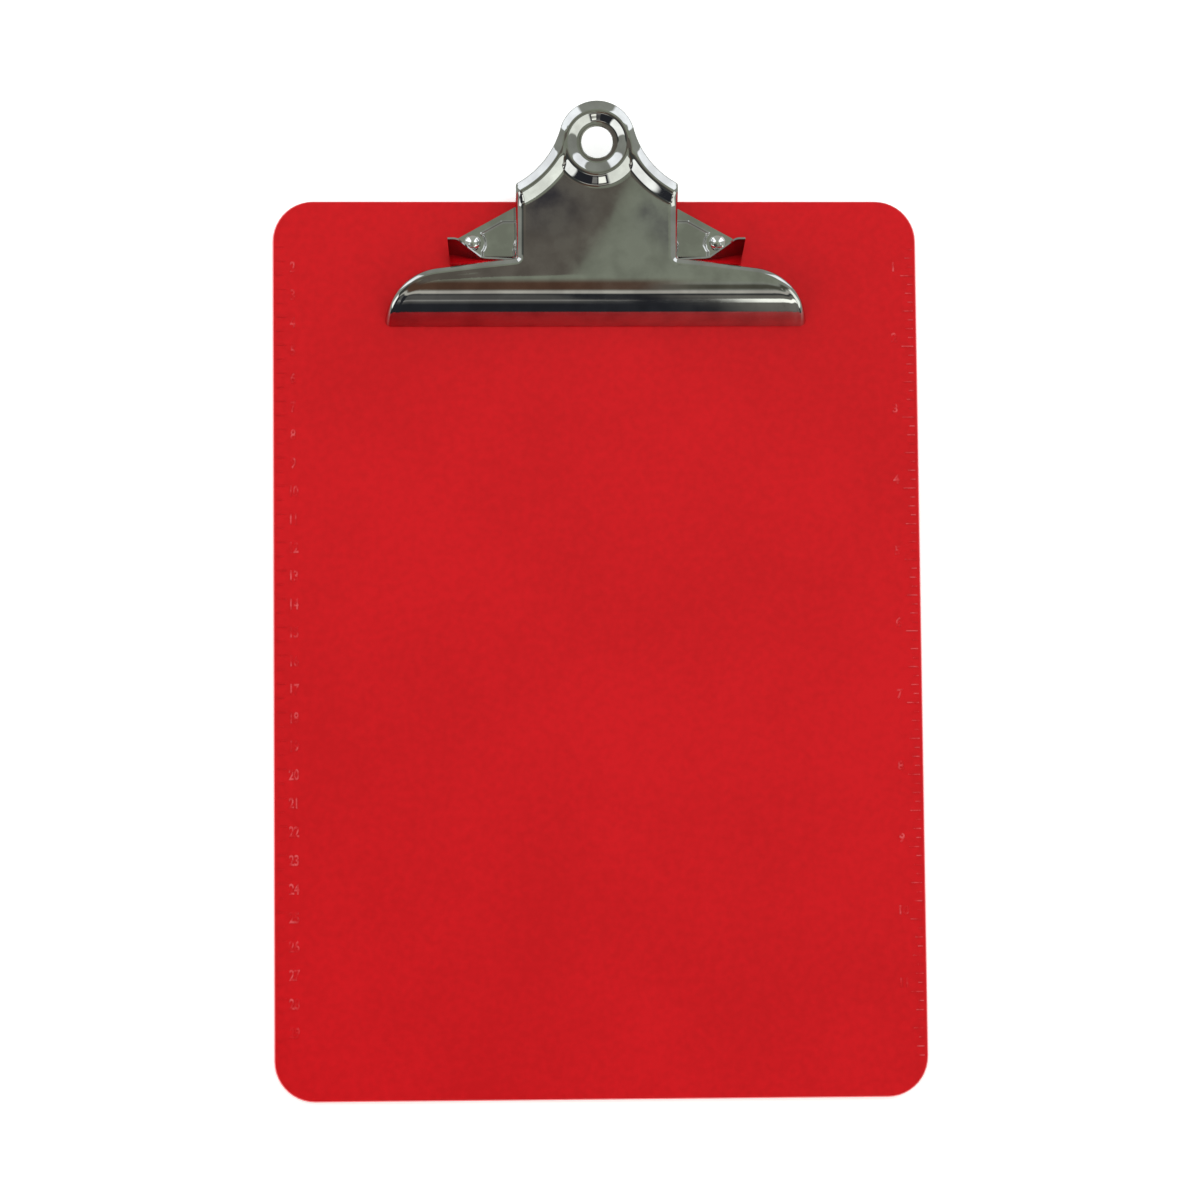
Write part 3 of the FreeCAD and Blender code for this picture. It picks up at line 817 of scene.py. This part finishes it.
def bead_guides():
    """Points along circles round the ring and the shoulders, which follow their beads."""
    guides = []
    spare = 4 * BEAD_STEP
    for radius in even_steps(HOLE_EDGE + BEAD_STEP, RING_CREST + RING_OUTER_FOOT + spare, BEAD_STEP):
        for place, _ in arc(HOLE_CENTRE, radius, 0.0, 2 * math.pi, BEAD_STEP)[:-1]:
            ring, shoulder = bead_distances(place.x, place.y)
            if abs(ring) / RING_OUTER_FOOT < abs(shoulder) / SHOULDER_FOOT:
                guides.append(place)
    farthest = SHOULDER_RADIUS + BEAD_INSET + SHOULDER_FOOT + spare
    for radius in even_steps(SHOULDER_RADIUS + BEAD_STEP, farthest, BEAD_STEP):
        for place, _ in arc(SHOULDER_CENTRE, -radius, 0.0, math.pi / 2, BEAD_STEP):
            ring, shoulder = bead_distances(place.x, place.y)
            nearer = abs(shoulder) / SHOULDER_FOOT <= abs(ring) / RING_OUTER_FOOT
            if nearer and 0 < place.x < BODY_HALF - BODY_FOLD:
                guides += [place, Vector((-place.x, place.y))]
    return guides


def rim_guides(rim):
    """Rows of points just inside the bent rim, from the lip to near the ends of the cheeks."""
    guides = []
    for row in range(1, RIM_ROWS + 1):
        for place, out, bend, _ in rim:
            if place.y < RIM_GUIDES_END:
                guides.append(place - out * (bend + RIM_STEP * row))
    return guides


def lever_grid():
    """Points all over the lever, closest together where the beads are."""
    yield from lattice(-JAW_HALF, JAW_HALF, LIP_Y + 0.5, JAW_BACK, 0.9, 0.5)
    yield from lattice(-BODY_HALF, BODY_HALF, JAW_BACK + 0.5, 19.0, 1.0, 0.9)
    yield from lattice(-BODY_HALF, BODY_HALF, 19.5, RING_CENTRE.y + RING_OUTER, 0.45, 0.4)


def add_lever_top(mesh, rim, edge, hole):
    """The top of the sheet inside its bent rim, open at the hanging hole."""
    outline = [point.to_2d() for point in edge]
    outline += [place for place, _ in straight(outline[-1], outline[0], None, LIP_STEP)]
    guides = bead_guides() + rim_guides(rim)
    points, faces = fill_outline(outline, [hole], guides, lever_grid(), GUIDE_CLEARANCE)
    corners = [mesh.verts.new(lever_top(point)) for point in points]
    for face in faces:
        middle = sum((points[n] for n in face), Vector((0.0, 0.0))) / 3
        if (middle - HOLE_CENTRE).length > HOLE_EDGE * 0.99:
            mesh.faces.new([corners[n] for n in face])
    loose = [vert for vert in mesh.verts if not vert.link_faces]
    bmesh.ops.delete(mesh, geom=loose, context="VERTS")


def make_lever():
    """Jaw, body, cheeks, shoulders and ring as one sheet with all its bends."""
    mesh = bmesh.new()
    rim = lever_rim()
    rows = rim_rows(rim)
    hole = arc(HOLE_CENTRE, HOLE_EDGE, 0.0, 2 * math.pi, HOLE_STEP)
    add_lever_top(mesh, rim, rows[0], [place for place, _ in hole[:-1]])
    add_strip(mesh, rows)
    hole_rim = [(place - out * CUT_ROUND, -out, CUT_ROUND, CUT_ROUND) for place, out in hole]
    add_strip(mesh, rim_rows(hole_rim)[:BEND_STEPS])
    for vert in mesh.verts:
        vert.co = lever_to_board(vert.co)
        vert.co.z = max(vert.co.z, BOARD_TOP + LIP_CLEARANCE)
    lever = smooth_object("lever_sheet", mesh, STEEL)
    thicken(lever, SHEET, EDGE_ROUND)
    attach(lever, "clip")
    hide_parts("lever")


# ---------------------------------------------------------------- the base plate

# In the board's frame.
BASE_SHEET = 0.9
BASE_TOP = BOARD_TOP + BASE_SHEET
BASE_RISE = 1.0
BASE_SLOPE = 1.0
SLOPE_ROWS = 3
SLOPE_STEP = 0.35
RIVET_PLACE = Vector((43.5, 143.6))
RIVET_PAD = 4.6
PLATE_FRONT = Vector((26.0, 131.0))
PLATE_SIDE_BACK = 142.2
PLATE_POINT = Vector((48.7, 145.3))
PLATE_BACK = Vector((27.2, 157.2))
FIN_LEAN = math.radians(54.5)
FIN_FOOT_Y = 136.0
FIN_INNER_SIDE = 29.4
FIN_FOOT_SIDE = 51.6
FIN_BEND = 1.3
FIN_STEPS = 8
FIN_TIP = Vector((52.6, 13.3))
FIN_TIP_FLAT = 2.0
FIN_TIP_RADIUS = 2.9
FIN_TIP_SWEEP = math.radians(56)
FIN_LOW_EDGE = [Vector((40.6, 4.2)), Vector((38.9, 3.75)), Vector((FIN_INNER_SIDE, 3.0))]
EAR_OUTER = 27.15
EAR_RADIUS = 4.2
EAR_FOOT_HALF = 8.0

# The fin's front face runs through the foot line, and its bend is tangent to it and to the board.
FIN_UP = Vector((0.0, math.cos(FIN_LEAN), math.sin(FIN_LEAN)))
FIN_OUT = Vector((0.0, -math.sin(FIN_LEAN), math.cos(FIN_LEAN)))
BEND_Z = BOARD_TOP + FIN_BEND
BEND_Y = FIN_FOOT_Y + (FIN_BEND + (BEND_Z - BASE_TOP) * FIN_OUT.z) / -FIN_OUT.y


def both_sides(right):
    """A closed outline from its right half."""
    return right + [Vector((-p.x, p.y)) for p in reversed(right)]


def fine_outline(corners, step):
    """The same closed outline with points at short steps along its sides."""
    fine = []
    for n, corner in enumerate(corners):
        fine.append(corner)
        following = corners[(n + 1) % len(corners)]
        fine += [place for place, _ in straight(corner, following, None, step)]
    return fine


def depth_inside(point, corners):
    """Distance from a point to the nearest side of an outline, negative outside it."""
    nearest = float("inf")
    inside = False
    for n, start in enumerate(corners):
        end = corners[(n + 1) % len(corners)]
        side = end - start
        share = min(max((point - start).dot(side) / side.length_squared, 0.0), 1.0)
        nearest = min(nearest, (point - start - side * share).length)
        if (start.y > point.y) != (end.y > point.y):
            cross_x = start.x + side.x * (point.y - start.y) / side.y
            inside = inside != (point.x < cross_x)
    return nearest if inside else -nearest


# The raised middle, and the whole plate with the line where its paper stops begin to bend up.
PLATEAU = both_sides([
    Vector((25.0, 132.6)), Vector((29.2, 138.0)), Vector((40.0, 138.0)),
    Vector((40.3, 147.0)), Vector((32.8, 151.2)),
])
PLATE = both_sides([
    PLATE_FRONT, Vector((FIN_INNER_SIDE, FIN_FOOT_Y)), Vector((FIN_INNER_SIDE, BEND_Y)),
    Vector((FIN_FOOT_SIDE, BEND_Y)), Vector((FIN_FOOT_SIDE, PLATE_SIDE_BACK)), PLATE_POINT,
    PLATE_BACK,
])


def plate_slope(place):
    """How far a point is inside the raised middle and outside the rivet pads."""
    rivet = Vector((abs(place.x), place.y)) - RIVET_PLACE
    return min(depth_inside(place, PLATEAU), rivet.length - RIVET_PAD)


def plate_top(place):
    """The pressed base plate: a raised middle, and a low round pad for each rivet."""
    rise = BASE_RISE * smooth_step(plate_slope(place), -BASE_SLOPE / 2, BASE_SLOPE / 2)
    return Vector((place.x, place.y, BASE_TOP + rise))


def slope_guides():
    """Points in close rows along the slopes of the raised middle and of the rivet pads."""
    guides = []
    rivets = [Vector((side * RIVET_PLACE.x, RIVET_PLACE.y)) for side in (-1, 1)]
    for row in range(-SLOPE_ROWS, SLOPE_ROWS + 1):
        offset = BASE_SLOPE * row / (2 * SLOPE_ROWS)
        for n, corner in enumerate(PLATEAU):
            following = PLATEAU[(n + 1) % len(PLATEAU)]
            along = (following - corner).normalized()
            across = Vector((along.y, -along.x)) * offset
            line = straight(corner, following, None, SLOPE_STEP)
            guides += [place + across for place, _ in line]
        for rivet in rivets:
            circle = arc(rivet, RIVET_PAD + offset, 0.0, 2 * math.pi, SLOPE_STEP)[:-1]
            guides += [place for place, _ in circle]
    return [place for place in guides if abs(plate_slope(place)) < 0.6 * BASE_SLOPE]


def add_plate(mesh):
    """The plate that lies on the board, with its pressed shape."""
    outline = fine_outline(PLATE, 0.8)
    grid = lattice(-51.5, 51.5, 131.3, 157.0, 0.5, 0.45)
    points, faces = fill_outline(outline, [], slope_guides(), grid, 0.3)
    corners = [mesh.verts.new(plate_top(point)) for point in points]
    for face in faces:
        mesh.faces.new([corners[n] for n in face])


def add_fin(mesh, side):
    """A paper stop: the sheet bends up from under the plate's front and leans back over it."""
    rows = []
    for n in range(FIN_STEPS + 1):
        turn = (math.pi - FIN_LEAN) * n / FIN_STEPS
        y = BEND_Y - FIN_BEND * math.sin(turn)
        z = BEND_Z - FIN_BEND * math.cos(turn)
        rows.append([Vector((side * x, y, z)) for x in (FIN_INNER_SIDE, FIN_FOOT_SIDE)])
    add_strip(mesh, rows)
    tip_centre = FIN_TIP - Vector((FIN_TIP_FLAT, FIN_TIP_RADIUS))
    tip = arc(tip_centre, FIN_TIP_RADIUS, math.pi / 2, math.pi / 2 + FIN_TIP_SWEEP, 0.5)
    outline = [FIN_TIP] + [place for place, _ in tip]
    outline += FIN_LOW_EDGE
    foot = Vector((0.0, FIN_FOOT_Y, BASE_TOP))
    upper = [foot + FIN_UP * p.y + Vector((side * p.x, 0.0, 0.0)) for p in outline]
    mesh.faces.new([mesh.verts.new(point) for point in rows[-1] + upper])


def add_ear(mesh, side):
    """An upright ear that carries the pin inside a cheek."""
    pin = pin_place / MM
    head = arc(Vector((pin.y, pin.z)), EAR_RADIUS, 0.0, math.pi, 0.5)
    outline = [Vector((pin.y + EAR_FOOT_HALF, BASE_TOP))] + [place for place, _ in head]
    outline.append(Vector((pin.y - EAR_FOOT_HALF, BASE_TOP)))
    corners = [mesh.verts.new((side * EAR_OUTER, p.x, p.y)) for p in outline]
    mesh.faces.new(corners if side > 0 else corners[::-1])


def make_base_plate():
    """The plate, its two paper stops and its two ears, all of one sheet."""
    mesh = bmesh.new()
    add_plate(mesh)
    for side in (-1, 1):
        add_fin(mesh, side)
        add_ear(mesh, side)
    plate = smooth_object("base_sheet", mesh, STEEL)
    thicken(plate, BASE_SHEET, EDGE_ROUND)
    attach(plate, "back")
    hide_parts("base_plate")


# ---------------------------------------------------------------- pin, rivets and spring

DOME_STEPS = 14
RIVET_HEAD = 2.9
RIVET_DOME = 1.3
RIVET_SHANK = 1.6
CLINCH_RADIUS = 2.7
CLINCH_TOP = 0.9
CLINCH_BOTTOM = 0.2
CLINCH_CHAMFER = 0.15
PIN_RADIUS = 1.75
PIN_HEAD = 2.9
PIN_DOME = 0.9


def turned(name, profile, steps, placing, material):
    """A solid of revolution from (radius, height) points, placed by a matrix, in millimetres."""
    mesh = bmesh.new()
    rows = []
    for n in range(steps + 1):
        spin = Matrix.Rotation(2 * math.pi * n / steps, 3, "Z")
        rows.append([placing @ (spin @ Vector((radius, 0.0, height))) for radius, height in profile])
    add_strip(mesh, rows)
    return smooth_object(name, mesh, material, closed=True)


def head_profile(radius, height, base):
    """A domed head, a cap of a sphere, from its top down to its rim at the base's height."""
    sphere = (radius ** 2 + height ** 2) / (2 * height)
    points = []
    for n in range(DOME_STEPS + 1):
        angle = math.asin(radius / sphere) * n / DOME_STEPS
        points.append((sphere * math.sin(angle), base + height - sphere * (1 - math.cos(angle))))
    return points


def make_rivet(name, x):
    """A domed head, a shank through the board, and a clinched end with a hollow in it."""
    profile = head_profile(RIVET_HEAD, RIVET_DOME, BASE_TOP)
    profile += [(RIVET_SHANK, BASE_TOP - 0.02), (RIVET_SHANK, CLINCH_TOP)]
    profile += [(CLINCH_RADIUS, CLINCH_TOP), (CLINCH_RADIUS, CLINCH_BOTTOM + CLINCH_CHAMFER)]
    profile += [(CLINCH_RADIUS - CLINCH_CHAMFER, CLINCH_BOTTOM), (1.3, CLINCH_BOTTOM)]
    profile += [(0.9, 0.6), (0.5, 1.8), (0.0, 1.8)]
    placing = Matrix.Translation((x, RIVET_PLACE.y, 0.0))
    rivet = turned(name + "_turned", profile, 64, placing, RIVET_STEEL)
    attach(rivet, "back")
    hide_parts(name)


def make_pin():
    """The hinge pin, with a peened head outside each cheek."""
    head = head_profile(PIN_HEAD, PIN_DOME, BODY_HALF)
    profile = head + [(PIN_RADIUS, BODY_HALF - 0.01), (PIN_RADIUS, -BODY_HALF + 0.01)]
    profile += [(radius, -height) for radius, height in reversed(head)]
    placing = Matrix.Translation(pin_place / MM) @ Matrix.Rotation(math.pi / 2, 4, "Y")
    pin = turned("pin_turned", profile, 48, placing, RIVET_STEEL)
    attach(pin, "clip")
    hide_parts("hinge_pin")


WIRE_RADIUS = 1.0
COIL_RADIUS = 3.4
COIL_TURNS = 8
COIL_PITCH = 2.15
COIL_STEPS = 28
UPPER_LEG = 14.0
LOWER_LEG = 9.5
LEG_UP = math.radians(18.2)
LEG_DOWN = math.radians(-5.8)


def coil_half():
    """Half of the coil's length along the pin, and its number of turns."""
    turns = COIL_TURNS + (LEG_DOWN - LEG_UP - math.pi) % (2 * math.pi) / (2 * math.pi)
    return turns * COIL_PITCH / 2, turns


def spring_line():
    """The wire's centre line round the pin: lower leg, coil and upper leg."""
    half, turns = coil_half()
    steps = math.ceil(turns * COIL_STEPS)
    start = LEG_DOWN - math.pi / 2
    coil = []
    for n in range(steps + 1):
        place = direction(start - 2 * math.pi * turns * n / steps) * COIL_RADIUS
        coil.append(Vector((half - 2 * half * n / steps, place.x, place.y)))
    lower = Vector((0.0, *direction(LEG_DOWN))) * LOWER_LEG
    upper = Vector((0.0, *direction(LEG_UP))) * UPPER_LEG
    return [coil[0] + lower] + coil + [coil[-1] + upper]


def wire_mesh(line):
    """A round wire along a line of points about the pin."""
    data = bpy.data.curves.new("spring_line", "CURVE")
    data.dimensions = "3D"
    data.bevel_depth = WIRE_RADIUS * MM
    data.bevel_resolution = 4
    data.use_fill_caps = True
    spline = data.splines.new("POLY")
    spline.points.add(len(line) - 1)
    for point, place in zip(spline.points, line):
        point.co = (*(place * MM + pin_place), 1.0)
    guide = bpy.data.objects.new("spring_line", data)
    mesh = bpy.data.meshes.new_from_object(guide)
    bpy.data.objects.remove(guide)
    for polygon in mesh.polygons:
        polygon.use_smooth = len(polygon.vertices) == 4
    mesh.materials.append(WIRE)
    return mesh


def make_spring():
    """Close-wound torsion spring round the pin, with one leg on each part of the clip."""
    spring = bpy.data.objects.new("spring_wire", wire_mesh(spring_line()))
    bpy.context.scene.collection.objects.link(spring)
    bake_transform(spring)
    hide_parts("torsion_spring")


# ---------------------------------------------------------------- ruler numbers

RULER_START = board_high.y / MM - 1.4
NUMBER_RELIEF = 0.05
NUMBER_BEVEL = 0.13
# Name, side, unit, first and last number, their distance from the middle of the board, their
# offset along it from their marks, their size, and how narrow they are.
RULERS = (
    ("centimetre_numbers", -1, 10.0, 2, 29, 107.2, -2.2, 5.2, 0.72),
    ("inch_numbers", 1, 25.4, 1, 11, 106.2, 3.0, 4.4, 0.95),
)


def number_mesh(text, size):
    """A number as a thin raised mesh with sloping edges, with its middle at the origin."""
    data = bpy.data.curves.new("number", "FONT")
    data.body = text
    data.align_x = "CENTER"
    data.align_y = "CENTER"
    data.size = size
    data.extrude = NUMBER_RELIEF
    data.bevel_depth = NUMBER_BEVEL
    data.bevel_resolution = 1
    data.resolution_u = 4
    data.space_character = 0.95
    guide = bpy.data.objects.new("number", data)
    mesh = bpy.data.meshes.new_from_object(guide)
    bpy.data.objects.remove(guide)
    return mesh


def make_numbers(name, side, unit, first, last, across, offset, size, narrow):
    """The raised numbers of one ruler, one beside every whole unit."""
    joined = bmesh.new()
    for number in range(first, last + 1):
        mesh = number_mesh(str(number), size)
        y = RULER_START - number * unit + offset
        place = Vector((side * across, y, BOARD_TOP))
        mesh.transform(Matrix.Translation(place) @ Matrix.Diagonal((narrow, 1.0, 1.0, 1.0)))
        joined.from_mesh(mesh)
        bpy.data.meshes.remove(mesh)
    for vert in joined.verts:
        vert.co *= MM
    data = bpy.data.meshes.new(name)
    joined.to_mesh(data)
    joined.free()
    data.materials.append(PLASTIC)
    numbers = bpy.data.objects.new(name, data)
    bpy.context.scene.collection.objects.link(numbers)
    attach(numbers, "back")


make_lever()
make_base_plate()
make_rivet("rivet_left", -RIVET_PLACE.x)
make_rivet("rivet_right", RIVET_PLACE.x)
make_pin()
make_spring()
for ruler in RULERS:
    make_numbers(*ruler)
